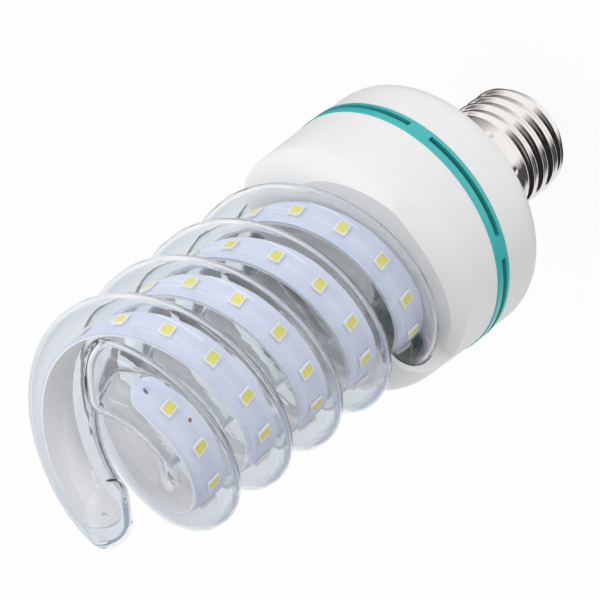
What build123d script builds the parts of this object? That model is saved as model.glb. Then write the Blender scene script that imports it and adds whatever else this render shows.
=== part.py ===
"""Spiral corn bulb: two clear helical tubes with LED strips on a screw-cap housing.

Millimetres. The bulb stands on its cap: Z runs along the axis from the contact's outer
face to the tips of the tubes. Angles on the coil are counted from the -Y side, rising
with Z, so the coil and the cap's thread are both right-handed.
"""
import math
import os

from build123d import *

os.makedirs("parts", exist_ok=True)

# Screw cap
CONTACT_R = 4.8
CONTACT_T = 1.1
CONTACT_FLAT_R = 2.8
STEM_R = 1.0
STEM_TOP_Z = 8.0
INSULATOR_TOP_Z = 6.8
INSULATOR_WALL = 2.2
SHELL_END_R = 10.9
SHELL_START_Z = 5.6
SHELL_BEND = 1.6
SHELL_ROOT_R = 12.15
SHELL_WALL = 0.4
SHELL_TOP_Z = 28.1
SKIRT_R = 13.1
SKIRT_Z = 22.4
SKIRT_FLARE = 0.9
THREAD_PITCH = 3.629
THREAD_HEIGHT = 1.0
THREAD_WIDTH = 3.3
THREAD_START_Z = 8.4
THREAD_TURNS = 3.4
THREAD_SINK = 0.15
DIMPLES = 8
DIMPLE_R = 0.9
DIMPLE_DEPTH = 0.3
DIMPLE_Z = 26.7
DIMPLE_TURN = 20.3

# Rear housing
NECK_R = 15.0
NECK_Z = 28.3
NECK_SLEEVE_WALL = 1.5
NECK_SLEEVE_Z = 12.5
NECK_CLEARANCE = 0.15
HOUSING_R = 30.2
CONE_TOP_Z = 40.5
CONE_EDGE_R = 6.0
HOUSING_WALL = 1.8
REAR_END_Z = 51.0

# Driver board
BOARD_Z = 47.0
BOARD_T = 1.6
BOARD_LEDGE = 1.2
BOARD_CLEARANCE = 0.2

# Vent ring
RING_PROUD = 0.2
RING_WIDTH = 4.3
RING_CHAMFER = 0.3
SLEEVE_WALL = 1.2
SLEEVE_REACH = 2.4
SLEEVE_CLEARANCE = 0.15
SLOTS = 6
SLOT_ARC = 49.5
SLOT_WIDTH = 1.4
SLOT_OFFSET = 1.1
SLOT_TURN = -3.0

# Front housing
FRONT_DRAFT = 0.9
FRONT_EDGE_R = 8.0
FRONT_Z = 78.0
HUB_R = 9.6
HUB_Z = 72.5
CREASE_Z = 65.0
CREASE_INSET = 0.2
SCROLL_ANGLE = -10.0
SCROLL_FADE = 30.0
SKIN_SLANT = 0.6
RAMP_CLEARANCE = 0.3
RAMP_BORE_R = 5.0
CORE_R = 6.5
RAMP_FOOT_CLEARANCE = 0.3
RAMP_TOP_Z = 95.0
RAMP_OUT_R = 38.0
RAMP_SECTIONS = 10
MOUTH_ANGLE = -80.0
SOCKET_CLEARANCE = 0.15

# Helical tubes
COIL_LEAD = 32.21
COIL_Z = 78.47
COIL_R = 27.1
TUBE_DEPTH = 16.5
TUBE_WIDTH = 10.4
TUBE_CORNER = 5.0
TUBE_WALL = 0.95
TUBE_BASE_ANGLE = -105.0
TUBE_TIP_ANGLE = 768.0
TUBE_END_R = 4.2
TUBE_END_WALL = 1.6

# LED strips
STRIP_R = 21.1
STRIP_T = 0.8
STRIP_CLEARANCE = 0.06
STRIP_BASE_ANGLE = -124.0
STRIP_TIP_ANGLE = 738.0
STRIP_SLIDE = 22.7
STRIP_HOLE_R = 0.8
STRIP_HOLE_INSET = 2.7
LED_LENGTH = 2.8
LED_SPAN = 3.5
LED_HEIGHT = 0.7
SOLDER_T = 0.02
LED_PITCH = 27.9
LED_LAST_ANGLE = 716.2
LED_COUNT = 30
WINDOW_RIM = 0.32
WINDOW_DEPTH = 0.3

# Parts on the driver board
BULK_CAP = (-8.0, 2.5)
BULK_CAP_R = 5.0
BULK_CAP_H = 13.0
CAP_CRIMP_R = 0.35
CAP_CRIMP_INSET = 2.0
OUT_CAP = (-3.0, 14.0)
OUT_CAP_R = 4.0
OUT_CAP_H = 10.0
FILM_CAP = (9.0, 10.5)
FILM_CAP_SIZE = (12.0, 6.0, 9.0)
FILM_CAP_EDGE = 0.8
INDUCTOR = (10.5, -10.0)
INDUCTOR_R = 4.6
INDUCTOR_H = 9.0
INDUCTOR_FLANGE = 1.2
INDUCTOR_CORE_R = 2.2
WINDING_R = 4.0
FUSE = (-5.0, -14.0)
FUSE_R = 1.6
FUSE_LENGTH = 9.0
FUSE_NECK = 0.3
FUSE_CAP = 2.0
BRIDGE = (-16.0, -7.0)
BRIDGE_SIZE = (4.7, 4.0, 2.5)
CHIP = (5.0, 4.0)
CHIP_SIZE = (5.0, 4.0, 1.6)
CHIP_PINS = 4
PIN_PITCH = 1.27
PIN_SIZE = (0.4, 0.9, 0.2)

# Wires
WIRE_R = 0.6
LIVE_SEAT = (0.0, -3.0)
NEUTRAL_SEAT = (5.5, 2.0)
NEUTRAL_Z = 10.0
NEUTRAL_RUN_R = 8.4
WIRE_BEND = 2.0
STRIP_WIRE_SPREAD = 1.8
STRIP_WIRE_ANGLE = -116.0
STRIP_WIRE_RUN_R = 13.0
STRIP_WIRE_RISE_Z = 58.0
STRIP_WIRE_NEAR_R = 15.5
STRIP_WIRE_STAGGER = 1.2

# Longest angle of one helical face, and the selection tolerance
HELIX_RUN = 45.0
FINE = 0.01

# Sizes that follow
COIL_AXIS_R = COIL_R - TUBE_DEPTH / 2
TUBE_BORE_DEPTH = TUBE_DEPTH - 2 * TUBE_WALL
TUBE_BORE_WIDTH = TUBE_WIDTH - 2 * TUBE_WALL
TUBE_BORE_CORNER = TUBE_CORNER - TUBE_WALL
TUBE_BORE_END_R = TUBE_END_R - TUBE_WALL
COIL_SLOPE = math.atan2(COIL_LEAD, 2 * math.pi * COIL_AXIS_R)
TUBE_HALF_RISE = TUBE_WIDTH / 2 / math.cos(COIL_SLOPE)
TUBE_ARC = math.radians(1) * COIL_AXIS_R / math.cos(COIL_SLOPE)
STRIP_SLOPE = math.atan2(COIL_LEAD, 2 * math.pi * STRIP_R)
STRIP_ARC = math.radians(1) * STRIP_R / math.cos(STRIP_SLOPE)
STRIP_BACK_R = STRIP_R - STRIP_T
LED_FOOT_R = STRIP_R + SOLDER_T
BORE_FLAT = TUBE_BORE_DEPTH / 2 - TUBE_BORE_CORNER
BORE_CORNER_DROP = max(
    COIL_AXIS_R - BORE_FLAT - STRIP_BACK_R,
    STRIP_R - COIL_AXIS_R - BORE_FLAT,
    0,
)
STRIP_HALF = (
    TUBE_BORE_WIDTH / 2
    - TUBE_BORE_CORNER
    + math.sqrt(TUBE_BORE_CORNER**2 - BORE_CORNER_DROP**2)
    - STRIP_CLEARANCE
)
RING_Z = REAR_END_Z
RING_R = HOUSING_R + RING_PROUD
FRONT_START_Z = REAR_END_Z + RING_WIDTH
FRONT_R = HOUSING_R - FRONT_DRAFT
CREASE_R = HOUSING_R - CREASE_INSET
RAMP_SHELF_R = HOUSING_R
HOUSING_BORE_R = HOUSING_R - HOUSING_WALL
SLEEVE_R = HOUSING_BORE_R - SLEEVE_CLEARANCE
SLEEVE_BORE_R = SLEEVE_R - SLEEVE_WALL
LEDGE_R = HOUSING_BORE_R - BOARD_LEDGE
BOARD_FRONT_Z = BOARD_Z + BOARD_T
NECK_SLEEVE_R = SHELL_ROOT_R - SHELL_WALL - NECK_CLEARANCE
NECK_SKIRT_R = SKIRT_R - SHELL_WALL - NECK_CLEARANCE
NECK_BORE_R = NECK_SLEEVE_R - NECK_SLEEVE_WALL
SHELL_BORE_R = SHELL_ROOT_R - SHELL_WALL
RAMP_FOOT_R = COIL_R + RAMP_FOOT_CLEARANCE
WALL_TURN = math.degrees(HOUSING_WALL / COIL_AXIS_R)


def coil_height(angle):
    """Height of the first tube's centre line at an angle of the coil."""
    return COIL_Z + COIL_LEAD * angle / 360


def spoke(angle):
    """Outward direction at an angle of the coil."""
    return Vector(math.sin(math.radians(angle)), -math.cos(math.radians(angle)), 0)


def helix_path(lead, radius, base_z, start, turned):
    """Right-handed helix of short runs, each one face long, through an angle turned."""
    runs = math.ceil(turned / HELIX_RUN)
    step = turned / runs
    rise = lead * step / 360
    edges_up = [
        Helix(lead, rise, radius, center=(0, 0, base_z + rise * i)).rotate(Axis.Z, start - 90 + step * i)
        for i in range(runs)
    ]
    return Wire(edges_up)


def coil_path(start, end):
    """Centre line of the first tube between two angles."""
    return helix_path(COIL_LEAD, COIL_AXIS_R, coil_height(start), start, end - start)


def coil_section(path, angle):
    """Plane across the tube at the start of a path, its X axis pointing outward."""
    return Plane(origin=path @ 0, x_dir=spoke(angle), z_dir=path % 0)


def strip_seat(angle, radius):
    """Plane lying on the strip at an angle, its X axis along the strip."""
    turn = math.radians(angle)
    along = Vector(math.cos(turn), math.sin(turn), math.tan(STRIP_SLOPE))
    height = Vector(0, 0, coil_height(angle))
    return Plane(origin=spoke(angle) * radius + height, x_dir=along, z_dir=spoke(angle))


def tube_run(start, end, depth, width, corner):
    """Solid run of rounded section along the coil."""
    path = coil_path(start, end)
    with BuildPart() as run:
        with BuildSketch(coil_section(path, start)):
            RectangleRounded(depth, width, corner)
        sweep(path=path, is_frenet=True)
    return run.part


def ramp_section(angle, skin):
    """Outline of the space above the ramp at an angle, lowered by a skin's thickness."""
    shift = skin * SKIN_SLANT
    fade = min(max((angle - SCROLL_ANGLE) / SCROLL_FADE, 0), 1)
    foot_r = RAMP_FOOT_R + fade * (RAMP_SHELF_R - RAMP_FOOT_R)
    crease_r = max(CREASE_R, foot_r + RAMP_CLEARANCE)
    foot_z = coil_height(angle) - TUBE_HALF_RISE - RAMP_CLEARANCE - skin
    crease_z = min(CREASE_Z - skin, foot_z)
    plane = Plane(origin=(0, 0, 0), x_dir=spoke(angle), z_dir=spoke(angle - 90))
    with BuildSketch(plane) as outline:
        with BuildLine():
            Polyline(
                (RAMP_BORE_R, foot_z),
                (foot_r - shift, foot_z),
                (crease_r - shift, crease_z),
                (RAMP_OUT_R, crease_z),
                (RAMP_OUT_R, RAMP_TOP_Z),
                (RAMP_BORE_R, RAMP_TOP_Z),
                close=True,
            )
        make_face()
    return outline.sketch


def ramp_space(skin):
    """Space over one ramp, from the mouth of its tube to the back of the next mouth."""
    start = MOUTH_ANGLE - math.degrees(skin / COIL_AXIS_R)
    step = 180 / (RAMP_SECTIONS - 1)
    with BuildPart() as space:
        loft([ramp_section(start + step * i, skin) for i in range(RAMP_SECTIONS)])
    return space.part


def strip_band(tip_angle):
    """Flat band along the coil, from the housing to a rounded, drilled end."""
    path = coil_path(STRIP_BASE_ANGLE, tip_angle)
    with BuildPart() as band:
        with BuildSketch(coil_section(path, STRIP_BASE_ANGLE)):
            with Locations((STRIP_R - STRIP_T / 2 - COIL_AXIS_R, 0)):
                Rectangle(STRIP_T, 2 * STRIP_HALF)
        sweep(path=path, is_frenet=True)
        with BuildSketch(strip_seat(tip_angle - STRIP_HALF / STRIP_ARC, STRIP_R)):
            with Locations((STRIP_HALF, 0)):
                Rectangle(2 * STRIP_HALF, 3 * STRIP_HALF)
            Circle(STRIP_HALF, mode=Mode.SUBTRACT)
        extrude(amount=2 * STRIP_T, both=True, mode=Mode.SUBTRACT)
        with BuildSketch(strip_seat(tip_angle - STRIP_HOLE_INSET / STRIP_ARC, STRIP_R)):
            Circle(STRIP_HOLE_R)
        extrude(amount=2 * STRIP_T, both=True, mode=Mode.SUBTRACT)
    return band.part


def led_seats(last_angle, radius):
    """Seats of one strip's packages, from the last one down."""
    return [strip_seat(last_angle - LED_PITCH * i, radius) for i in range(LED_COUNT)]


def window_row(last_angle):
    """Blocks as large as the phosphor windows, one in each package of a strip."""
    with BuildPart() as windows:
        with Locations(*led_seats(last_angle, LED_FOOT_R + LED_HEIGHT)):
            Box(
                LED_LENGTH - 2 * WINDOW_RIM,
                LED_SPAN - 2 * WINDOW_RIM,
                WINDOW_DEPTH,
                align=(Align.CENTER, Align.CENTER, Align.MAX),
            )
    return windows.part


def package_row(last_angle):
    """Packages of one strip, each with its well."""
    with BuildPart() as packages:
        with Locations(*led_seats(last_angle, LED_FOOT_R)):
            Box(LED_LENGTH, LED_SPAN, LED_HEIGHT, align=(Align.CENTER, Align.CENTER, Align.MIN))
        add(window_row(last_angle), mode=Mode.SUBTRACT)
    return packages.part


def wire(points, bends):
    """Round insulated wire through a list of points."""
    with BuildPart() as run:
        with BuildLine() as route:
            FilletPolyline(*points, radius=bends)
        with BuildSketch(Plane(origin=route.line @ 0, z_dir=route.line % 0)):
            Circle(WIRE_R)
        sweep()
    return run.part


# Screw shell: drawn sleeve with a rolled thread and a plain skirt
thread_path = helix_path(THREAD_PITCH, SHELL_ROOT_R, THREAD_START_Z, 0, 360 * THREAD_TURNS)
with BuildPart() as screw_shell:
    with BuildSketch(Plane.XZ):
        with BuildLine():
            Polyline(
                (0, SHELL_START_Z),
                (SHELL_END_R, SHELL_START_Z),
                (SHELL_ROOT_R, SHELL_START_Z + SHELL_BEND),
                (SHELL_ROOT_R, SKIRT_Z - SKIRT_FLARE),
                (SKIRT_R, SKIRT_Z),
                (SKIRT_R, SHELL_TOP_Z),
                (0, SHELL_TOP_Z),
                close=True,
            )
        make_face()
    revolve(axis=Axis.Z)
    with BuildSketch(Plane(origin=thread_path @ 0, x_dir=spoke(0), z_dir=thread_path % 0)):
        with BuildLine():
            ThreePointArc(
                (-THREAD_SINK, -THREAD_WIDTH / 2),
                (THREAD_HEIGHT, 0),
                (-THREAD_SINK, THREAD_WIDTH / 2),
            )
            Line((-THREAD_SINK, THREAD_WIDTH / 2), (-THREAD_SINK, -THREAD_WIDTH / 2))
        make_face()
    sweep(path=thread_path, is_frenet=True)
    with BuildSketch(Plane.XZ):
        with BuildLine():
            Polyline(
                (0, SHELL_START_Z),
                (SHELL_END_R - SHELL_WALL, SHELL_START_Z),
                (SHELL_BORE_R, SHELL_START_Z + SHELL_BEND),
                (SHELL_BORE_R, SKIRT_Z - SKIRT_FLARE),
                (SKIRT_R - SHELL_WALL, SKIRT_Z),
                (SKIRT_R - SHELL_WALL, SHELL_TOP_Z),
                (0, SHELL_TOP_Z),
                close=True,
            )
        make_face()
    revolve(axis=Axis.Z, mode=Mode.SUBTRACT)
    with Locations((0, 0, DIMPLE_Z)):
        with PolarLocations(SKIRT_R + DIMPLE_R - DIMPLE_DEPTH, DIMPLES, start_angle=DIMPLE_TURN - 90):
            Sphere(DIMPLE_R, mode=Mode.SUBTRACT)
screw_shell.part.label = "screw_shell"
export_step(screw_shell.part, "parts/screw_shell.step")

# Cap insulator: cone that carries the centre contact
with BuildPart() as cap_insulator:
    with BuildSketch(Plane.XZ):
        with BuildLine():
            Polyline(
                (STEM_R, CONTACT_T),
                (CONTACT_R, CONTACT_T),
                (SHELL_END_R - SHELL_WALL, SHELL_START_Z),
                (SHELL_END_R - SHELL_WALL, INSULATOR_TOP_Z),
                (SHELL_END_R - SHELL_WALL - INSULATOR_WALL, INSULATOR_TOP_Z),
                (CONTACT_R, CONTACT_T + INSULATOR_WALL),
                (STEM_R, CONTACT_T + INSULATOR_WALL),
                close=True,
            )
        make_face()
    revolve(axis=Axis.Z)
cap_insulator.part.label = "cap_insulator"
export_step(cap_insulator.part, "parts/cap_insulator.step")

# Centre contact: domed disc with a hollow rivet's stem
with BuildPart() as centre_contact:
    with BuildSketch(Plane.XZ):
        with BuildLine():
            Line((0, 0), (CONTACT_FLAT_R, 0))
            ThreePointArc(
                (CONTACT_FLAT_R, 0),
                ((CONTACT_FLAT_R + CONTACT_R) / 2 + CONTACT_T / 4, CONTACT_T / 4),
                (CONTACT_R, CONTACT_T),
            )
            Polyline((CONTACT_R, CONTACT_T), (STEM_R, CONTACT_T), (STEM_R, STEM_TOP_Z), (0, STEM_TOP_Z), (0, 0))
        make_face()
    revolve(axis=Axis.Z)
centre_contact.part.label = "centre_contact"
export_step(centre_contact.part, "parts/centre_contact.step")

# Rear housing: moulded cone on a neck that fills the shell's skirt
with BuildPart() as rear_housing:
    with BuildSketch(Plane.XZ):
        with BuildLine():
            Polyline(
                (0, NECK_Z),
                (NECK_R, NECK_Z),
                (HOUSING_R, CONE_TOP_Z),
                (HOUSING_R, REAR_END_Z),
                (0, REAR_END_Z),
                close=True,
            )
        make_face()
    revolve(axis=Axis.Z)
    fillet(edges().filter_by_position(Axis.Z, CONE_TOP_Z - FINE, CONE_TOP_Z + FINE), CONE_EDGE_R)
    with BuildSketch(Plane.XZ):
        with BuildLine():
            Polyline(
                (0, NECK_SLEEVE_Z),
                (NECK_SLEEVE_R, NECK_SLEEVE_Z),
                (NECK_SLEEVE_R, SKIRT_Z - SKIRT_FLARE),
                (NECK_SKIRT_R, SKIRT_Z),
                (NECK_SKIRT_R, NECK_Z),
                (0, NECK_Z),
                close=True,
            )
        make_face()
    revolve(axis=Axis.Z)
    with BuildSketch(Plane.XZ):
        with BuildLine():
            Polyline(
                (0, NECK_SLEEVE_Z),
                (NECK_BORE_R, NECK_SLEEVE_Z),
                (NECK_BORE_R, NECK_Z + HOUSING_WALL),
                (LEDGE_R, CONE_TOP_Z + HOUSING_WALL),
                (LEDGE_R, BOARD_Z),
                (HOUSING_BORE_R, BOARD_Z),
                (HOUSING_BORE_R, REAR_END_Z),
                (0, REAR_END_Z),
                close=True,
            )
        make_face()
    revolve(axis=Axis.Z, mode=Mode.SUBTRACT)
    with Locations((0, 0, DIMPLE_Z)):
        with PolarLocations(SKIRT_R + DIMPLE_R - DIMPLE_DEPTH, DIMPLES, start_angle=DIMPLE_TURN - 90):
            Sphere(DIMPLE_R + SHELL_WALL, mode=Mode.SUBTRACT)
rear_housing.part.label = "rear_housing"
export_step(rear_housing.part, "parts/rear_housing.step")

# Vent ring: flange between the housings with a sleeve into both, cut by long slots
with BuildPart() as vent_ring:
    with BuildSketch(Plane.XZ):
        with BuildLine():
            Polyline(
                (SLEEVE_BORE_R, BOARD_FRONT_Z),
                (SLEEVE_R, BOARD_FRONT_Z),
                (SLEEVE_R, RING_Z),
                (RING_R - RING_CHAMFER, RING_Z),
                (RING_R, RING_Z + RING_CHAMFER),
                (RING_R, FRONT_START_Z - RING_CHAMFER),
                (RING_R - RING_CHAMFER, FRONT_START_Z),
                (SLEEVE_R, FRONT_START_Z),
                (SLEEVE_R, FRONT_START_Z + SLEEVE_REACH),
                (SLEEVE_BORE_R, FRONT_START_Z + SLEEVE_REACH),
                close=True,
            )
        make_face()
    revolve(axis=Axis.Z)
    for slot in range(SLOTS):
        slot_start = SLOT_TURN - SLOT_ARC / 2 + slot * 360 / SLOTS
        slot_plane = Plane(origin=(0, 0, RING_Z), x_dir=spoke(slot_start), z_dir=spoke(slot_start - 90))
        with BuildSketch(slot_plane) as slot_outline:
            with Locations(((SLEEVE_BORE_R + RING_R) / 2, SLOT_OFFSET + SLOT_WIDTH / 2)):
                Rectangle((RING_R - SLEEVE_BORE_R) * 2, SLOT_WIDTH)
        revolve(axis=Axis.Z, revolution_arc=SLOT_ARC, mode=Mode.SUBTRACT)
vent_ring.part.label = "vent_ring"
export_step(vent_ring.part, "parts/vent_ring.step")

# Front housing: cup whose front face falls in two helical ramps to the tube mouths
first_ramp = ramp_space(0)
first_skin = ramp_space(HOUSING_WALL)
socket = tube_run(
    TUBE_BASE_ANGLE - 2 * WALL_TURN,
    MOUTH_ANGLE + WALL_TURN,
    TUBE_DEPTH + 2 * SOCKET_CLEARANCE,
    TUBE_WIDTH + 2 * SOCKET_CLEARANCE,
    TUBE_CORNER + SOCKET_CLEARANCE,
)
with BuildPart() as front_cavity:
    with BuildSketch(Plane.XZ):
        with BuildLine():
            Polyline(
                (0, FRONT_START_Z),
                (HOUSING_BORE_R, FRONT_START_Z),
                (FRONT_R - HOUSING_WALL, FRONT_Z - HOUSING_WALL),
                (HUB_R + HOUSING_WALL, FRONT_Z - HOUSING_WALL),
                (HUB_R + HOUSING_WALL, HUB_Z - HOUSING_WALL),
                (CORE_R, HUB_Z - HOUSING_WALL),
                (CORE_R, CREASE_Z - HOUSING_WALL),
                (0, CREASE_Z - HOUSING_WALL),
                close=True,
            )
        make_face()
    revolve(axis=Axis.Z)
    cavity_edge = edges().filter_by_position(
        Axis.Z, FRONT_Z - HOUSING_WALL - FINE, FRONT_Z - HOUSING_WALL + FINE
    )
    fillet(cavity_edge.sort_by(SortBy.LENGTH)[-1], FRONT_EDGE_R - HOUSING_WALL)
    add(first_skin, mode=Mode.SUBTRACT)
    add(first_skin.rotate(Axis.Z, 180), mode=Mode.SUBTRACT)
with BuildPart() as front_housing:
    with BuildSketch(Plane.XZ):
        with BuildLine():
            Polyline(
                (0, FRONT_START_Z),
                (HOUSING_R, FRONT_START_Z),
                (FRONT_R, FRONT_Z),
                (0, FRONT_Z),
                close=True,
            )
        make_face()
    revolve(axis=Axis.Z)
    fillet(edges().filter_by_position(Axis.Z, FRONT_Z - FINE, FRONT_Z + FINE), FRONT_EDGE_R)
    add(first_ramp, mode=Mode.SUBTRACT)
    add(first_ramp.rotate(Axis.Z, 180), mode=Mode.SUBTRACT)
    with Locations((0, 0, HUB_Z)):
        Cylinder(HUB_R, FRONT_Z, align=(Align.CENTER, Align.CENTER, Align.MIN), mode=Mode.SUBTRACT)
        Cylinder(HUB_R, HUB_Z - FRONT_START_Z, align=(Align.CENTER, Align.CENTER, Align.MAX))
    add(front_cavity.part, mode=Mode.SUBTRACT)
    add(socket, mode=Mode.SUBTRACT)
    add(socket.rotate(Axis.Z, 180), mode=Mode.SUBTRACT)
front_housing.part.label = "front_housing"
export_step(front_housing.part, "parts/front_housing.step")

# Helical tubes: hollow runs with a rounded tip
with BuildPart() as tube_bore:
    add(
        tube_run(
            TUBE_BASE_ANGLE - WALL_TURN,
            TUBE_TIP_ANGLE - TUBE_END_WALL / TUBE_ARC,
            TUBE_BORE_DEPTH,
            TUBE_BORE_WIDTH,
            TUBE_BORE_CORNER,
        )
    )
    bore_face = faces().filter_by(GeomType.PLANE).sort_by(Axis.Z)[-1]
    fillet(bore_face.edges(), TUBE_BORE_END_R)
with BuildPart() as spiral_tube_a:
    add(tube_run(TUBE_BASE_ANGLE, TUBE_TIP_ANGLE, TUBE_DEPTH, TUBE_WIDTH, TUBE_CORNER))
    tip_face = faces().filter_by(GeomType.PLANE).sort_by(Axis.Z)[-1]
    fillet(tip_face.edges(), TUBE_END_R)
    add(tube_bore.part, mode=Mode.SUBTRACT)
spiral_tube_a.part.label = "spiral_tube_a"
export_step(spiral_tube_a.part, "parts/spiral_tube_a.step")

with BuildPart() as spiral_tube_b:
    add(spiral_tube_a.part.rotate(Axis.Z, 180))
spiral_tube_b.part.label = "spiral_tube_b"
export_step(spiral_tube_b.part, "parts/spiral_tube_b.step")

# LED strips: helical metal bands with a rounded, drilled end
with BuildPart() as led_strip_a:
    add(strip_band(STRIP_TIP_ANGLE))
led_strip_a.part.label = "led_strip_a"
export_step(led_strip_a.part, "parts/led_strip_a.step")

with BuildPart() as led_strip_b:
    add(strip_band(STRIP_TIP_ANGLE + STRIP_SLIDE).rotate(Axis.Z, 180))
led_strip_b.part.label = "led_strip_b"
export_step(led_strip_b.part, "parts/led_strip_b.step")

# LED packages: rows of identical white bodies with a well for the phosphor
with BuildPart() as led_packages_a:
    add(package_row(LED_LAST_ANGLE))
led_packages_a.part.label = "led_packages_a"
export_step(led_packages_a.part, "parts/led_packages_a.step")

with BuildPart() as led_packages_b:
    add(package_row(LED_LAST_ANGLE + STRIP_SLIDE).rotate(Axis.Z, 180))
led_packages_b.part.label = "led_packages_b"
export_step(led_packages_b.part, "parts/led_packages_b.step")

# LED windows: the phosphor that fills each well
with BuildPart() as led_windows_a:
    add(window_row(LED_LAST_ANGLE))
led_windows_a.part.label = "led_windows_a"
export_step(led_windows_a.part, "parts/led_windows_a.step")

with BuildPart() as led_windows_b:
    add(window_row(LED_LAST_ANGLE + STRIP_SLIDE).rotate(Axis.Z, 180))
led_windows_b.part.label = "led_windows_b"
export_step(led_windows_b.part, "parts/led_windows_b.step")

# Driver board: round board that rests on the rear housing's ledge
with BuildPart() as driver_board:
    with Locations((0, 0, BOARD_Z)):
        Cylinder(
            HOUSING_BORE_R - BOARD_CLEARANCE,
            BOARD_T,
            align=(Align.CENTER, Align.CENTER, Align.MIN),
        )
driver_board.part.label = "driver_board"
export_step(driver_board.part, "parts/driver_board.step")

# Capacitors: cans with a rolled groove near the seal, and a boxed film capacitor
with BuildPart() as bulk_capacitor:
    with Locations((*BULK_CAP, BOARD_Z)):
        Cylinder(BULK_CAP_R, BULK_CAP_H, align=(Align.CENTER, Align.CENTER, Align.MAX))
    with Locations((*BULK_CAP, BOARD_Z - CAP_CRIMP_INSET)):
        Torus(BULK_CAP_R, CAP_CRIMP_R, mode=Mode.SUBTRACT)
bulk_capacitor.part.label = "bulk_capacitor"
export_step(bulk_capacitor.part, "parts/bulk_capacitor.step")

with BuildPart() as output_capacitor:
    with Locations((*OUT_CAP, BOARD_Z)):
        Cylinder(OUT_CAP_R, OUT_CAP_H, align=(Align.CENTER, Align.CENTER, Align.MAX))
    with Locations((*OUT_CAP, BOARD_Z - CAP_CRIMP_INSET)):
        Torus(OUT_CAP_R, CAP_CRIMP_R, mode=Mode.SUBTRACT)
output_capacitor.part.label = "output_capacitor"
export_step(output_capacitor.part, "parts/output_capacitor.step")

with BuildPart() as film_capacitor:
    with Locations((*FILM_CAP, BOARD_Z)):
        Box(*FILM_CAP_SIZE, align=(Align.CENTER, Align.CENTER, Align.MAX))
    fillet(edges().filter_by(Axis.Z), FILM_CAP_EDGE)
film_capacitor.part.label = "film_capacitor"
export_step(film_capacitor.part, "parts/film_capacitor.step")

# Inductor: drum core and the winding between its flanges
with BuildPart() as inductor_core:
    with Locations((*INDUCTOR, BOARD_Z)):
        Cylinder(INDUCTOR_R, INDUCTOR_FLANGE, align=(Align.CENTER, Align.CENTER, Align.MAX))
        Cylinder(INDUCTOR_CORE_R, INDUCTOR_H, align=(Align.CENTER, Align.CENTER, Align.MAX))
    with Locations((*INDUCTOR, BOARD_Z - INDUCTOR_H)):
        Cylinder(INDUCTOR_R, INDUCTOR_FLANGE, align=(Align.CENTER, Align.CENTER, Align.MIN))
inductor_core.part.label = "inductor_core"
export_step(inductor_core.part, "parts/inductor_core.step")

with BuildPart() as inductor_winding:
    with Locations((*INDUCTOR, BOARD_Z - INDUCTOR_FLANGE)):
        Cylinder(WINDING_R, INDUCTOR_H - 2 * INDUCTOR_FLANGE, align=(Align.CENTER, Align.CENTER, Align.MAX))
        Cylinder(
            INDUCTOR_CORE_R,
            INDUCTOR_H - 2 * INDUCTOR_FLANGE,
            align=(Align.CENTER, Align.CENTER, Align.MAX),
            mode=Mode.SUBTRACT,
        )
inductor_winding.part.label = "inductor_winding"
export_step(inductor_winding.part, "parts/inductor_winding.step")

# Fuse resistor: lying body with thicker ends
with BuildPart() as fuse_resistor:
    with Locations((*FUSE, BOARD_Z - FUSE_R)):
        Cylinder(FUSE_R - FUSE_NECK, FUSE_LENGTH, rotation=(0, 90, 0))
        with GridLocations(FUSE_LENGTH - FUSE_CAP, 0, 2, 1):
            Cylinder(FUSE_R, FUSE_CAP, rotation=(0, 90, 0))
fuse_resistor.part.label = "fuse_resistor"
export_step(fuse_resistor.part, "parts/fuse_resistor.step")

# Bridge rectifier and driver chip, each with pins that bend onto the board
with BuildPart() as bridge_rectifier:
    with Locations((*BRIDGE, BOARD_Z - PIN_SIZE[2])):
        Box(*BRIDGE_SIZE, align=(Align.CENTER, Align.CENTER, Align.MAX))
    with Locations((*BRIDGE, BOARD_Z)):
        with GridLocations(2 * PIN_PITCH, BRIDGE_SIZE[1], 2, 2):
            Box(PIN_SIZE[0], 2 * PIN_SIZE[1], 2 * PIN_SIZE[2], align=(Align.CENTER, Align.CENTER, Align.MAX))
bridge_rectifier.part.label = "bridge_rectifier"
export_step(bridge_rectifier.part, "parts/bridge_rectifier.step")

with BuildPart() as driver_chip:
    with Locations((*CHIP, BOARD_FRONT_Z + PIN_SIZE[2])):
        Box(*CHIP_SIZE, align=(Align.CENTER, Align.CENTER, Align.MIN))
    with Locations((*CHIP, BOARD_FRONT_Z)):
        with GridLocations(PIN_PITCH, CHIP_SIZE[1], CHIP_PINS, 2):
            Box(PIN_SIZE[0], 2 * PIN_SIZE[1], 2 * PIN_SIZE[2], align=(Align.CENTER, Align.CENTER, Align.MIN))
driver_chip.part.label = "driver_chip"
export_step(driver_chip.part, "parts/driver_chip.step")

# Mains leads: from the contact's stem and from the shell's wall to the board
with BuildPart() as live_lead:
    live_bend_z = (STEM_TOP_Z + BOARD_Z) / 2
    add(
        wire(
            [
                (0, 0, STEM_TOP_Z),
                (0, 0, live_bend_z),
                (*LIVE_SEAT, live_bend_z + NECK_BORE_R / 2),
                (*LIVE_SEAT, BOARD_Z),
            ],
            WIRE_BEND,
        )
    )
live_lead.part.label = "live_lead"
export_step(live_lead.part, "parts/live_lead.step")

with BuildPart() as neutral_lead:
    add(
        wire(
            [
                (SHELL_BORE_R, 0, NEUTRAL_Z),
                (NEUTRAL_RUN_R, 0, NEUTRAL_Z),
                (NEUTRAL_RUN_R, 0, NECK_Z),
                (*NEUTRAL_SEAT, NECK_Z + NECK_BORE_R),
                (*NEUTRAL_SEAT, BOARD_Z),
            ],
            WIRE_BEND,
        )
    )
neutral_lead.part.label = "neutral_lead"
export_step(neutral_lead.part, "parts/neutral_lead.step")

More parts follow.
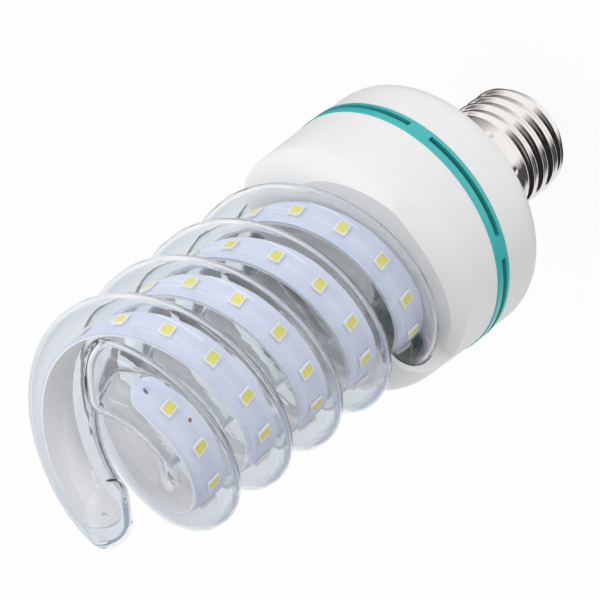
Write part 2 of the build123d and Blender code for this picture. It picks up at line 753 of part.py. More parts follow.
# Strip leads: a pair from the board to the back of each strip's base end
wire_spoke = spoke(STRIP_WIRE_ANGLE)
wire_side = spoke(STRIP_WIRE_ANGLE + 90)
with BuildPart() as strip_leads_a:
    for side in (-1, 1):
        shift = wire_side * side * STRIP_WIRE_SPREAD
        lift = Vector(0, 0, coil_height(STRIP_WIRE_ANGLE) + side * STRIP_WIRE_SPREAD)
        foot = wire_spoke * STRIP_WIRE_RUN_R + shift
        add(
            wire(
                [
                    foot + Vector(0, 0, BOARD_FRONT_Z),
                    foot + Vector(0, 0, STRIP_WIRE_RISE_Z),
                    wire_spoke * (STRIP_WIRE_NEAR_R - side * STRIP_WIRE_STAGGER) + lift,
                    wire_spoke * (STRIP_BACK_R - FINE) + lift,
                ],
                WIRE_BEND,
            )
        )
strip_leads_a.part.label = "strip_leads_a"
export_step(strip_leads_a.part, "parts/strip_leads_a.step")

with BuildPart() as strip_leads_b:
    add(strip_leads_a.part.rotate(Axis.Z, 180))
strip_leads_b.part.label = "strip_leads_b"
export_step(strip_leads_b.part, "parts/strip_leads_b.step")
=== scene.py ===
"""Spiral corn bulb: clear coiled tubes with LED strips on a white vented housing."""
import math

import bmesh
import bpy
from mathutils import Matrix, Vector


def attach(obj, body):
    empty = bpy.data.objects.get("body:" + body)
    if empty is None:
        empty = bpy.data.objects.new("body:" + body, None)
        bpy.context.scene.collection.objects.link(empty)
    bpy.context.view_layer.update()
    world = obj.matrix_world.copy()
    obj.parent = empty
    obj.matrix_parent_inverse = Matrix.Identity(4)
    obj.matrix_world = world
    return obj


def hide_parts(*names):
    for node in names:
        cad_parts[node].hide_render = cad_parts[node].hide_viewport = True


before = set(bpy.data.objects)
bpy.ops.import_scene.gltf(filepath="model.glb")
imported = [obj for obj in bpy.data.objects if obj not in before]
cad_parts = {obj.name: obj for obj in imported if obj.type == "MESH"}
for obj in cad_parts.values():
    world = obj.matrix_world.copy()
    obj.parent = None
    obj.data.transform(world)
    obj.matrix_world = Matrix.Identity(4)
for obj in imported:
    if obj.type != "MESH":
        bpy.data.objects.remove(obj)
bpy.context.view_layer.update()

MM = 0.001

# Coil of the clear tubes, in millimetres and degrees
COIL_LEAD = 32.21
COIL_Z = 78.47
COIL_R = 27.1
TUBE_DEPTH = 16.5
TUBE_WIDTH = 10.4
TUBE_CORNER = 5.0
TUBE_WALL = 0.95
TUBE_BASE = -105.0
TUBE_TIP = 765.0
TUBE_END_WALL = 1.1
TUBE_END_R = 4.2
AXIS_R = COIL_R - TUBE_DEPTH / 2
COIL_SLOPE = math.atan2(COIL_LEAD, 2 * math.pi * AXIS_R)
ARC = math.radians(1) * AXIS_R / math.cos(COIL_SLOPE)

# The tube's sweep: degrees of a step, degrees spare before the rounding, facets of the roundings
TURN_STEP = 3.3
END_MARGIN = 0.8
CORNER_FACETS = 7
TIP_FACETS = 6

# LED strips
STRIP_R = 21.1
STRIP_T = 0.8
STRIP_SLIDE = 22.7
STRIP_SLOPE = math.atan2(COIL_LEAD, 2 * math.pi * STRIP_R)
SOLDER_T = 0.02
LED_PITCH = 27.9
LED_LAST = 716.2
LED_COUNT = 30
LED_LENGTH = 2.8
LED_SPAN = 3.5
LED_HEIGHT = 0.7
LED_EDGE = 0.12
LED_EDGE_FACETS = 2
LED_RIM = 0.30
LED_SLOPE = 0.12
WELL_DEPTH = 0.18
WINDOW_CORNER = 0.3
WINDOW_FACETS = 3
MARK_ANGLE = 702.8
MARK_SHIFT = 1.9
MARK_R = 0.45
MARK_T = 0.06
MARK_FACETS = 20
UPRIGHT_RISE = 0.01

# The two starts of the coil: side, degrees round the axis, and how far the strip slides along
STARTS = (("a", 0, 0), ("b", 180, STRIP_SLIDE))

# Screw shell
SHELL_END_R = 10.9
SHELL_ROOT_R = 12.15
SHELL_CREST = 1.0
SHELL_PITCH = 3.629
SHELL_WALL = 0.4
SHELL_START_Z = 5.6
SHELL_BEND = 1.6
SHELL_TOP_Z = 28.1
SKIRT_R = 13.1
SKIRT_Z = 22.4
SKIRT_FLARE = 0.9
THREAD_FROM = 6.6
THREAD_TO = 21.4
THREAD_FADE = 2.2
THREAD_START_Z = 8.4
SHELL_CUTS = 52
SHELL_SPOKES = 192
DIMPLES = 8
DIMPLE_Z = 24.8
DIMPLE_TURN = 19.5
DIMPLE_R = 0.8
DIMPLE_DEPTH = 0.25

# Edges are shaded smooth below these angles, in degrees, and vertices closer than this are joined
SMOOTH_BLOCK = 35
SMOOTH_CAD = 28
SMOOTH_ROUND = 50
WELD = 1e-7

# The photo's camera: elevation, roll, distance and offsets in millimetres, focal length in
# pixels, and its near and far limits in metres
CAMERA_TILT = math.radians(36.48)
CAMERA_ROLL = math.radians(-126.74)
CAMERA_DISTANCE = 654.93
CAMERA_FOCAL = 3076.08
CAMERA_SIDE = 3.05
CAMERA_RISE = 2.48
CAMERA_AIM_Z = 90.0
PHOTO_WIDTH = 600
SENSOR_WIDTH = 36
CAMERA_NEAR = 0.01
CAMERA_FAR = 20


def grey(level):
    """Neutral colour of a brightness."""
    return (level, level, level)


# Softboxes: power in watts, lean to the picture's right, up and toward the camera, then the
# distance, width and height in metres
KEY_POWER = 4.2
FILL_POWER = 1.4
SOFTBOX_AIM = Vector((0, 0, 0.08))
SOFTBOXES = (
    ("key_softbox", KEY_POWER, (0.15, 0.9, 0.6), 0.9, 0.7, 0.5),
    ("fill_softbox", FILL_POWER, (-0.9, -0.4, 0.9), 1.0, 0.8, 0.6),
)

# The room's even light: dim on the side of -X, bright on that of X, a little less overhead
ROOM_DIM = grey(0.62)
ROOM_BRIGHT = grey(1.16)
ROOM_ZENITH = 0.9

# The room as the clear tubes show it, by the height that a ray leaves at
ROOM_IN_GLASS = (
    (0.0, grey(1.0)),
    (0.22, (0.62, 0.65, 0.69)),
    (0.40, grey(1.0)),
)

# The room as polished metal shows it: cards by direction, in degrees, and plain white overhead
ROOM_CARDS = (
    (-180, grey(0.30)),
    (-150, grey(0.20)),
    (-120, grey(0.02)),
    (-15, grey(0.02)),
    (5, grey(0.14)),
    (28, grey(1.0)),
    (85, grey(1.0)),
    (112, grey(0.16)),
    (180, grey(0.30)),
)
ROOM_TOP = (0.55, 0.75)

# The floor: its paint, its glow to sight, and its size in metres
FLOOR_PAINT = grey(0.82)
FLOOR_GLOW = 0.94
FLOOR_SIZE = 3.0

# The floor as the clear tubes show it, by direction in degrees
FLOOR_IN_GLASS = (
    (-180, (0.80, 0.835, 0.87)),
    (-162, (0.80, 0.835, 0.87)),
    (-146, (0.26, 0.32, 0.44)),
    (-88, (0.30, 0.36, 0.48)),
    (-58, grey(1.0)),
    (130, grey(1.0)),
    (162, (0.80, 0.835, 0.87)),
    (180, (0.80, 0.835, 0.87)),
)

# The floor as polished metal shows it: cards near the bulb, and an even tone from there on
FLOOR_CARDS = (
    (-180, grey(0.30)),
    (-155, grey(1.0)),
    (-92, grey(0.85)),
    (-76, grey(0.04)),
    (-46, grey(0.04)),
    (-28, grey(1.0)),
    (28, grey(1.0)),
    (56, grey(0.50)),
    (78, grey(0.30)),
    (92, grey(0.04)),
    (150, grey(0.08)),
    (180, grey(0.30)),
)
FLOOR_FAR = grey(0.92)
FLOOR_NEAR_R = (0.095, 0.14)

# Textures: the span of noise that is used, the scale at which colours drift, the grain of
# plastics and the drawn streaks of metals, with depths in metres
NOISE_SPAN = (0.3, 0.7)
PLASTIC_DRIFT = 45
METAL_DRIFT = 160
DRIFT_DETAIL = 4
FINE_DETAIL = 2
GRAIN_DEPTH = 0.00003
STREAK_SCALE = 900
STREAK_DETAIL = 3
STREAK_STRETCH = (1, 1, 0.08)
STREAK_STRENGTH = 0.05
STREAK_DEPTH = 0.00002

# Clear tube plastic: tints, a painted grey-blue shade where the wall is seen edge on and how softly
# it sets in, bending of light, waves of the wall, tint of the light that passes, and the number of
# bounces past which a ray goes straight on
CLEAR_TINTS = ((0.93, 0.945, 0.955), (0.97, 0.976, 0.98))
CLEAR_EDGE_PAINTED_SHADE = (0.84, 0.87, 0.90)
CLEAR_EDGE_BLEND = 0.35
CLEAR_BENDING = 1.45
CLEAR_DRIFT = 60
CLEAR_ROUGHNESS = (0.0, 0.03)
WAVE_SCALE = 150
WAVE_STRENGTH = 0.2
WAVE_DEPTH = 0.0004
LIGHT_TINT = (0.98, 0.985, 0.99)
DEEPEST_RAY = 5.5

# Strip metal: blue printed face outside, bare inside
FACE_TINTS = ((0.62, 0.67, 0.84), (0.69, 0.73, 0.87))
FACE_DRIFT = 130
BARE_TINT = (0.94, 0.925, 0.935)
BARE_METALLIC = 0.1
STRIP_ROUGHNESS = (0.30, 0.42)
STRIP_GRAIN = 1400
STRIP_GRAIN_STRENGTH = 0.08
STRIP_GRAIN_DEPTH = 0.00002


def place_camera():
    """Sets the photo's camera; returns the picture's right, its up, and the way to the camera."""
    back = Vector((0, -math.cos(CAMERA_TILT), math.sin(CAMERA_TILT)))
    right = Vector((1, 0, 0))
    up = back.cross(right)
    image_right = math.cos(CAMERA_ROLL) * right + math.sin(CAMERA_ROLL) * up
    image_up = -math.sin(CAMERA_ROLL) * right + math.cos(CAMERA_ROLL) * up
    place = Vector((0, 0, CAMERA_AIM_Z)) + back * CAMERA_DISTANCE
    place += image_right * CAMERA_SIDE + image_up * CAMERA_RISE
    data = bpy.data.cameras.new("camera")
    data.sensor_width = SENSOR_WIDTH
    data.lens = CAMERA_FOCAL * SENSOR_WIDTH / PHOTO_WIDTH
    data.clip_start = CAMERA_NEAR
    data.clip_end = CAMERA_FAR
    camera = bpy.data.objects.new("camera", data)
    turn = Matrix((image_right, image_up, back)).transposed()
    camera.matrix_world = Matrix.Translation(place * MM) @ turn.to_4x4()
    bpy.context.scene.collection.objects.link(camera)
    bpy.context.scene.camera = camera
    return image_right, image_up, back


image_right, image_up, toward_camera = place_camera()


# Short forms for shader nodes

def feed(links, socket, source):
    """Links a socket to another one, or sets it to a colour or a number."""
    if isinstance(source, bpy.types.NodeSocket):
        links.new(source, socket)
    elif isinstance(source, tuple):
        socket.default_value = (*source, 1)
    else:
        socket.default_value = source


def blend(nodes, links, share, first, second, kind="RGBA"):
    """Mixes two colours or numbers; a share of 1 gives the second."""
    mix = nodes.new("ShaderNodeMix")
    mix.data_type = kind
    feed(links, mix.inputs["Factor"], share)
    feed(links, mix.inputs["A"], first)
    feed(links, mix.inputs["B"], second)
    return mix.outputs["Result"]


def blend_shaders(nodes, links, share, first, second):
    """Mixes two shaders; a share of 1 gives the second."""
    mix = nodes.new("ShaderNodeMixShader")
    for socket, source in zip(mix.inputs, (share, first, second)):
        links.new(source, socket)
    return mix.outputs["Shader"]


def calculate(nodes, links, operation, first, second, clamp=False):
    """Sum, product or the like of two sockets or numbers."""
    step = nodes.new("ShaderNodeMath")
    step.operation = operation
    step.use_clamp = clamp
    feed(links, step.inputs[0], first)
    feed(links, step.inputs[1], second)
    return step.outputs["Value"]


def remap(nodes, links, value, low, high, span=(0, 1)):
    """Turns a span of values into one from low to high."""
    spread = nodes.new("ShaderNodeMapRange")
    spread.inputs["From Min"].default_value = span[0]
    spread.inputs["From Max"].default_value = span[1]
    spread.inputs["To Min"].default_value = low
    spread.inputs["To Max"].default_value = high
    links.new(value, spread.inputs["Value"])
    return spread.outputs["Result"]


def length_of(nodes, links, vector):
    """Length of a vector."""
    measure = nodes.new("ShaderNodeVectorMath")
    measure.operation = "LENGTH"
    links.new(vector, measure.inputs[0])
    return measure.outputs["Value"]


def axes_of(nodes, links, vector):
    """X, Y and Z of a vector."""
    apart = nodes.new("ShaderNodeSeparateXYZ")
    links.new(vector, apart.inputs["Vector"])
    return apart.outputs


def colour_stops(nodes, links, value, stops):
    """Colour by a value from 0 to 1, with stops of a place and a colour."""
    ramp = nodes.new("ShaderNodeValToRGB")
    marks = ramp.color_ramp.elements
    while len(marks) < len(stops):
        marks.new(1.0)
    for mark, (place, colour) in zip(marks, stops):
        mark.position = place
        mark.color = (*colour, 1)
    links.new(value, ramp.inputs["Fac"])
    return ramp.outputs["Color"]


def cards(nodes, links, axes, stops):
    """Colour by direction round the bulb, as light and dark cards give it."""
    toward_front = calculate(nodes, links, "MULTIPLY", axes["Y"], -1)
    turn = calculate(nodes, links, "ARCTAN2", axes["X"], toward_front)
    place = remap(nodes, links, turn, 0, 1, (-math.pi, math.pi))
    return colour_stops(nodes, links, place, [((angle + 180) / 360, tone) for angle, tone in stops])


# Materials

def new_material(name):
    """New material, with its nodes, links and shader."""
    material = bpy.data.materials.new(name)
    material.use_nodes = True
    nodes = material.node_tree.nodes
    return material, nodes, material.node_tree.links, nodes["Principled BSDF"]


def place_noise(nodes, links, scale, detail, stretch=(1, 1, 1)):
    """Noise that is fixed to the piece."""
    where = nodes.new("ShaderNodeTexCoord")
    mapping = nodes.new("ShaderNodeMapping")
    mapping.inputs["Scale"].default_value = stretch
    noise = nodes.new("ShaderNodeTexNoise")
    noise.inputs["Scale"].default_value = scale
    noise.inputs["Detail"].default_value = detail
    links.new(where.outputs["Object"], mapping.inputs["Vector"])
    links.new(mapping.outputs["Vector"], noise.inputs["Vector"])
    return noise.outputs["Fac"]


def drifting_tint(nodes, links, scale, detail, first, second):
    """Colour that drifts slowly between two tints."""
    drift = remap(nodes, links, place_noise(nodes, links, scale, detail), 0, 1, NOISE_SPAN)
    return blend(nodes, links, drift, first, second)


def roughen(nodes, links, shader, value, low, high):
    """Roughness that follows a noise, from low to high."""
    links.new(remap(nodes, links, value, low, high, NOISE_SPAN), shader.inputs["Roughness"])


def grain(nodes, links, shader, value, strength, distance):
    """Fine relief that follows a noise."""
    bump = nodes.new("ShaderNodeBump")
    bump.inputs["Strength"].default_value = strength
    bump.inputs["Distance"].default_value = distance
    links.new(value, bump.inputs["Height"])
    links.new(bump.outputs["Normal"], shader.inputs["Normal"])


def moulded(name, first, second, rough_low, rough_high, grain_scale, grain_strength):
    """Moulded plastic: slight drift of colour, fine surface grain."""
    material, nodes, links, shader = new_material(name)
    colour = drifting_tint(nodes, links, PLASTIC_DRIFT, DRIFT_DETAIL, first, second)
    links.new(colour, shader.inputs["Base Color"])
    fine = place_noise(nodes, links, grain_scale, FINE_DETAIL)
    roughen(nodes, links, shader, fine, rough_low, rough_high)
    grain(nodes, links, shader, fine, grain_strength, GRAIN_DEPTH)
    return material


def metal(name, first, second, rough_low, rough_high):
    """Rolled metal: fine drawn streaks along the turn."""
    material, nodes, links, shader = new_material(name)
    shader.inputs["Metallic"].default_value = 1.0
    colour = drifting_tint(nodes, links, METAL_DRIFT, DRIFT_DETAIL, first, second)
    links.new(colour, shader.inputs["Base Color"])
    streak = place_noise(nodes, links, STREAK_SCALE, STREAK_DETAIL, STREAK_STRETCH)
    roughen(nodes, links, shader, streak, rough_low, rough_high)
    grain(nodes, links, shader, streak, STREAK_STRENGTH, STREAK_DEPTH)
    return material


def let_light_through(nodes, links, shader):
    """Lets lamp and room light pass a clear wall, tinted, so that what it holds is lit."""
    clear = nodes.new("ShaderNodeBsdfTransparent")
    clear.inputs["Color"].default_value = (*LIGHT_TINT, 1)
    path = nodes.new("ShaderNodeLightPath").outputs
    deep = calculate(nodes, links, "GREATER_THAN", path["Ray Depth"], DEEPEST_RAY)
    wall = shader.outputs["BSDF"]
    for share in (path["Is Diffuse Ray"], path["Is Shadow Ray"], deep):
        wall = blend_shaders(nodes, links, share, wall, clear.outputs["BSDF"])
    links.new(wall, nodes["Material Output"].inputs["Surface"])


def clear_plastic():
    """Clear moulded tube wall: faint flow waves, and a painted grey-blue shade where it is seen
    edge on.
    """
    material, nodes, links, shader = new_material("clear_tube_plastic")
    shader.inputs["Transmission Weight"].default_value = 1.0
    shader.inputs["IOR"].default_value = CLEAR_BENDING
    clear = drifting_tint(nodes, links, CLEAR_DRIFT, FINE_DETAIL, *CLEAR_TINTS)
    # Painted shade: the wall's colour turns grey-blue where it is seen edge on
    edge = nodes.new("ShaderNodeLayerWeight")
    edge.inputs["Blend"].default_value = CLEAR_EDGE_BLEND
    colour = blend(nodes, links, edge.outputs["Facing"], clear, CLEAR_EDGE_PAINTED_SHADE)
    links.new(colour, shader.inputs["Base Color"])
    wave = place_noise(nodes, links, WAVE_SCALE, FINE_DETAIL)
    roughen(nodes, links, shader, wave, *CLEAR_ROUGHNESS)
    grain(nodes, links, shader, wave, WAVE_STRENGTH, WAVE_DEPTH)
    let_light_through(nodes, links, shader)
    return material


def strip_face():
    """Strip: blue printed face outside, pale bare metal inside."""
    material, nodes, links, shader = new_material("strip_face")
    axes = axes_of(nodes, links, nodes.new("ShaderNodeTexCoord").outputs["Object"])
    flat = nodes.new("ShaderNodeCombineXYZ")
    for axis in ("X", "Y"):
        links.new(axes[axis], flat.inputs[axis])
    reach = length_of(nodes, links, flat.outputs["Vector"])
    outside = calculate(nodes, links, "GREATER_THAN", reach, (STRIP_R - STRIP_T / 2) * MM)
    face = drifting_tint(nodes, links, FACE_DRIFT, DRIFT_DETAIL, *FACE_TINTS)
    links.new(blend(nodes, links, outside, BARE_TINT, face), shader.inputs["Base Color"])
    links.new(remap(nodes, links, outside, BARE_METALLIC, 0.0), shader.inputs["Metallic"])
    fine = place_noise(nodes, links, STRIP_GRAIN, FINE_DETAIL)
    roughen(nodes, links, shader, fine, *STRIP_ROUGHNESS)
    grain(nodes, links, shader, fine, STRIP_GRAIN_STRENGTH, STRIP_GRAIN_DEPTH)
    return material


# Metals: two colours, and the roughness from and to
NICKEL = metal("nickel_plate", (0.92, 0.88, 0.86), (0.86, 0.82, 0.80), 0.06, 0.13)
CONTACT = metal("tinned_contact", (0.72, 0.68, 0.60), (0.62, 0.58, 0.52), 0.2, 0.35)
COPPER = metal("enamelled_copper", (0.70, 0.30, 0.14), (0.58, 0.22, 0.10), 0.2, 0.3)

# Plastics and the like: two colours, the roughness from and to, and the grain's scale and strength
WHITE = moulded("moulded_white", grey(0.80), grey(0.83), 0.34, 0.44, 2600, 0.15)
TEAL = moulded("moulded_teal", (0.045, 0.44, 0.43), (0.060, 0.50, 0.49), 0.14, 0.22, 2600, 0.12)
GLASSY = moulded("cap_glass", (0.012, 0.012, 0.014), (0.02, 0.02, 0.025), 0.1, 0.2, 900, 0.1)
TUBE = clear_plastic()
STRIP = strip_face()
PACKAGE = moulded("led_package", (0.80, 0.80, 0.78), (0.86, 0.86, 0.84), 0.3, 0.4, 3000, 0.1)
PHOSPHOR = moulded("led_phosphor", (0.72, 0.66, 0.09), (0.86, 0.80, 0.16), 0.45, 0.6, 5200, 0.4)
MARK = moulded("strip_mark_copper", (0.30, 0.10, 0.07), (0.36, 0.13, 0.09), 0.4, 0.5, 3000, 0.2)
BOARD = moulded("board_resin", (0.02, 0.14, 0.05), (0.03, 0.18, 0.07), 0.3, 0.4, 1200, 0.1)
CAN = moulded("can_sleeve", (0.01, 0.014, 0.03), (0.02, 0.02, 0.05), 0.3, 0.4, 900, 0.1)
FILM = moulded("film_resin", (0.35, 0.05, 0.02), (0.42, 0.07, 0.03), 0.2, 0.3, 700, 0.2)
FERRITE = moulded("ferrite", (0.02, 0.02, 0.022), (0.035, 0.035, 0.04), 0.6, 0.8, 1800, 0.4)
CHIP = moulded("chip_epoxy", grey(0.015), grey(0.025), 0.5, 0.6, 2600, 0.3)
LACQUER = moulded("resistor_lacquer", (0.10, 0.22, 0.15), (0.14, 0.27, 0.19), 0.3, 0.45, 1500, 0.2)
RED = moulded("lead_red", (0.48, 0.02, 0.02), (0.55, 0.03, 0.03), 0.35, 0.5, 1500, 0.15)
GREY = moulded("lead_grey", grey(0.50), grey(0.58), 0.35, 0.5, 1500, 0.15)


def finish_piece(bm, name, material, nodes, smooth_angle=SMOOTH_BLOCK):
    """Turns a bmesh into a piece that rides on the bulb and stands for CAD nodes."""
    bmesh.ops.remove_doubles(bm, verts=bm.verts, dist=WELD)
    for face in bm.faces:
        face.smooth = True
    for edge in bm.edges:
        if len(edge.link_faces) == 2:
            edge.smooth = edge.calc_face_angle(0) < math.radians(smooth_angle)
    mesh = bpy.data.meshes.new(name)
    bm.to_mesh(mesh)
    bm.free()
    mesh.materials.append(material)
    piece = bpy.data.objects.new(name, mesh)
    bpy.context.scene.collection.objects.link(piece)
    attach(piece, "root")
    if nodes:
        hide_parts(*nodes)
    return piece


def smoothed(node, name, material):
    """Smooth-shaded copy of a CAD node."""
    bm = bmesh.new()
    bm.from_mesh(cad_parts[node].data)
    return finish_piece(bm, name, material, [node], SMOOTH_CAD)


def round_off(bm, edges, radius, facets):
    """Rounds edges to a radius in millimetres."""
    bmesh.ops.bevel(
        bm,
        geom=list(edges),
        offset=radius * MM,
        segments=facets,
        profile=0.5,
        affect="EDGES",
        clamp_overlap=True,
        material=-1,
    )


# Helical tubes: rounded section carried along the coil, closed round tip, hollow bore

def coil_turn(angle):
    """Screw motion from the coil's zero angle to an angle, in metres."""
    lift = Vector((0, 0, COIL_Z + COIL_LEAD * angle / 360)) * MM
    return Matrix.Translation(lift) @ Matrix.Rotation(math.radians(angle - 90), 4, "Z")


def carry_along_coil(bm, edges, start, end, steps):
    """Carries a ring of edges along the coil; returns the far ring."""
    rise = COIL_LEAD * (end - start) / 360 * MM / steps
    spun = bmesh.ops.spin(
        bm,
        geom=edges,
        cent=(0, 0, 0),
        axis=(0, 0, 1),
        dvec=(0, 0, rise),
        angle=math.radians(end - start),
        steps=steps,
        use_duplicate=False,
    )
    return [edge for edge in spun["geom_last"] if isinstance(edge, bmesh.types.BMEdge)]


def close_run(bm, ring, end, radius):
    """Carries a ring from the base to an end, with a last step as long as the end's rounding."""
    shoulder = end - radius / ARC - END_MARGIN
    steps = round((shoulder - TUBE_BASE) / TURN_STEP)
    ring = carry_along_coil(bm, ring, TUBE_BASE, shoulder, steps)
    ring = carry_along_coil(bm, ring, shoulder, end, 1)
    cap = bmesh.ops.edgeloop_fill(bm, edges=ring)["faces"][0]
    round_off(bm, cap.edges, radius, TIP_FACETS)


def tube_section(bm, start):
    """Rounded section of the tube, standing across the coil at an angle."""
    across = Matrix.Rotation(COIL_SLOPE, 4, "X") @ Matrix.Rotation(math.radians(90), 4, "X")
    seat = coil_turn(start) @ Matrix.Translation((AXIS_R * MM, 0, 0)) @ across
    corners = bmesh.ops.create_grid(bm, x_segments=1, y_segments=1, size=0.5)["verts"]
    bmesh.ops.scale(bm, verts=corners, vec=(TUBE_DEPTH * MM, TUBE_WIDTH * MM, 1))
    bmesh.ops.bevel(
        bm,
        geom=corners,
        offset=TUBE_CORNER * MM,
        segments=CORNER_FACETS,
        profile=0.5,
        affect="VERTICES",
        material=-1,
    )
    bmesh.ops.transform(bm, matrix=seat, verts=bm.verts)
    return next(iter(bm.faces))


def make_tube(name, node, turned):
    """Hollow tube: the outer wall and the bore are carried along the coil together."""
    bm = bmesh.new()
    section = tube_section(bm, TUBE_BASE)
    bmesh.ops.inset_individual(bm, faces=[section], thickness=TUBE_WALL * MM, use_even_offset=True)
    outer_ring = [edge for edge in bm.edges if edge.is_boundary]
    bore_ring = list(section.edges)
    bmesh.ops.delete(bm, geom=[section], context="FACES_ONLY")
    close_run(bm, outer_ring, TUBE_TIP, TUBE_END_R)
    close_run(bm, bore_ring, TUBE_TIP - TUBE_END_WALL / ARC, TUBE_END_R - TUBE_WALL)
    about = Matrix.Rotation(math.radians(turned), 3, "Z")
    bmesh.ops.rotate(bm, verts=bm.verts, cent=(0, 0, 0), matrix=about)
    bmesh.ops.recalc_face_normals(bm, faces=bm.faces)
    return finish_piece(bm, name, TUBE, [node], SMOOTH_ROUND)


for side, turned, slide in STARTS:
    make_tube("clear_tube_" + side, "spiral_tube_" + side, turned)


# LED packages: one pattern of each kind, repeated on the seats of both strips

def strip_seat(angle, turned, across_shift=0):
    """Place on a strip's face: X along the strip, Z outward, in metres."""
    turn = math.radians(angle)
    along = Vector((math.cos(turn), math.sin(turn), math.tan(STRIP_SLOPE))).normalized()
    outward = Vector((math.sin(turn), -math.cos(turn), 0))
    across = outward.cross(along)
    foot = outward * (STRIP_R + SOLDER_T) + across * across_shift
    foot += Vector((0, 0, COIL_Z + COIL_LEAD * angle / 360))
    seat = Matrix((along, across, outward)).transposed().to_4x4()
    return Matrix.Rotation(math.radians(turned), 4, "Z") @ Matrix.Translation(foot * MM) @ seat


def block(bm, length, span, low, high):
    """Plain block on the seat's axes, in millimetres."""
    bmesh.ops.create_cube(bm, size=MM)
    bmesh.ops.scale(bm, verts=bm.verts, vec=(length, span, high - low))
    bmesh.ops.translate(bm, verts=bm.verts, vec=(0, 0, (low + high) / 2 * MM))


def package_pattern():
    """White package: softened block with a sloped well."""
    bm = bmesh.new()
    block(bm, LED_LENGTH, LED_SPAN, 0, LED_HEIGHT)
    round_off(bm, bm.edges, LED_EDGE, LED_EDGE_FACETS)
    lid = max(bm.faces, key=lambda face: face.calc_center_median().z)
    bmesh.ops.inset_individual(bm, faces=[lid], thickness=LED_RIM * MM)
    bmesh.ops.inset_individual(bm, faces=[lid], thickness=LED_SLOPE * MM, depth=-WELL_DEPTH * MM)
    return bm


def window_pattern():
    """Phosphor in the lower half of the well, with round corners."""
    bm = bmesh.new()
    rim = 2 * (LED_EDGE + LED_RIM + LED_SLOPE / 2)
    floor_z = LED_HEIGHT - WELL_DEPTH
    block(bm, LED_LENGTH - rim, LED_SPAN - rim, floor_z, floor_z + WELL_DEPTH / 2)
    rises = {edge: abs((edge.verts[0].co - edge.verts[1].co).z) for edge in bm.edges}
    upright = [edge for edge, rise in rises.items() if rise > UPRIGHT_RISE * MM]
    round_off(bm, upright, WINDOW_CORNER, WINDOW_FACETS)
    return bm


def repeat_on_strip(pattern, name, material, node, turned, last):
    """One piece with a pattern on every seat of a strip."""
    mesh = bpy.data.meshes.new("pattern")
    pattern.to_mesh(mesh)
    pattern.free()
    bm = bmesh.new()
    for place in range(LED_COUNT):
        seat = strip_seat(last - LED_PITCH * place, turned)
        mesh.transform(seat)
        bm.from_mesh(mesh)
        mesh.transform(seat.inverted())
    bpy.data.meshes.remove(mesh)
    return finish_piece(bm, name, material, [node])


for side, turned, slide in STARTS:
    for kind, pattern, material in (
        ("packages_", package_pattern, PACKAGE),
        ("windows_", window_pattern, PHOSPHOR),
    ):
        node = "led_" + kind + side
        repeat_on_strip(pattern(), kind + side, material, node, turned, LED_LAST + slide)


def make_strip_mark():
    """Small copper mark that shows between the last two packages."""
    bm = bmesh.new()
    bmesh.ops.create_cone(
        bm,
        cap_ends=True,
        segments=MARK_FACETS,
        radius1=MARK_R * MM,
        radius2=MARK_R * MM,
        depth=MARK_T * MM,
    )
    seat = strip_seat(MARK_ANGLE, 0, -MARK_SHIFT)
    bmesh.ops.transform(bm, matrix=seat, verts=bm.verts)
    finish_piece(bm, "strip_mark", MARK, [])


make_strip_mark()


# Screw shell: spun sleeve, its wall pushed out into a rolled thread and dented on the skirt

def shell_profile(bm):
    """Closed outline of the sleeve's wall on the XZ plane, fine where the thread is rolled."""
    outline = [
        (SHELL_END_R - SHELL_WALL, SHELL_START_Z),
        (SHELL_END_R, SHELL_START_Z),
        (SHELL_ROOT_R, SHELL_START_Z + SHELL_BEND),
        (SHELL_ROOT_R, SKIRT_Z - SKIRT_FLARE),
        (SKIRT_R, SKIRT_Z),
        (SKIRT_R, SHELL_TOP_Z),
        (SKIRT_R - SHELL_WALL, SHELL_TOP_Z),
        (SKIRT_R - SHELL_WALL, SKIRT_Z),
        (SHELL_ROOT_R - SHELL_WALL, SKIRT_Z - SKIRT_FLARE),
        (SHELL_ROOT_R - SHELL_WALL, SHELL_START_Z + SHELL_BEND),
    ]
    corners = [bm.verts.new((x * MM, 0, z * MM)) for x, z in outline]
    walls = [bm.edges.new(pair) for pair in zip(corners, corners[1:] + corners[:1])]
    thread_wall, skirt_wall = walls[2], walls[4]
    bmesh.ops.subdivide_edges(bm, edges=[thread_wall, skirt_wall], cuts=SHELL_CUTS)


def thread_swell(place):
    """Outward swell of the rolled thread at a point of the sleeve, in millimetres."""
    height = place.z / MM
    turn = math.atan2(place.x, -place.y) / (2 * math.pi)
    fade_in = min(max((height - THREAD_FROM) / THREAD_FADE, 0), 1)
    fade_out = min(max((THREAD_TO - height) / THREAD_FADE, 0), 1)
    wave = math.cos(2 * math.pi * ((height - THREAD_START_Z) / SHELL_PITCH - turn))
    return SHELL_CREST * fade_in * fade_out * (0.5 + 0.5 * wave)


def dent_depth(place):
    """Depth of the nearest punch mark at a point of the skirt, in millimetres."""
    turn = math.degrees(math.atan2(place.x, -place.y)) - DIMPLE_TURN
    off = (turn + 180 / DIMPLES) % (360 / DIMPLES) - 180 / DIMPLES
    span = math.hypot(math.radians(off) * SKIRT_R, place.z / MM - DIMPLE_Z)
    return DIMPLE_DEPTH * max(1 - (span / DIMPLE_R) ** 2, 0)


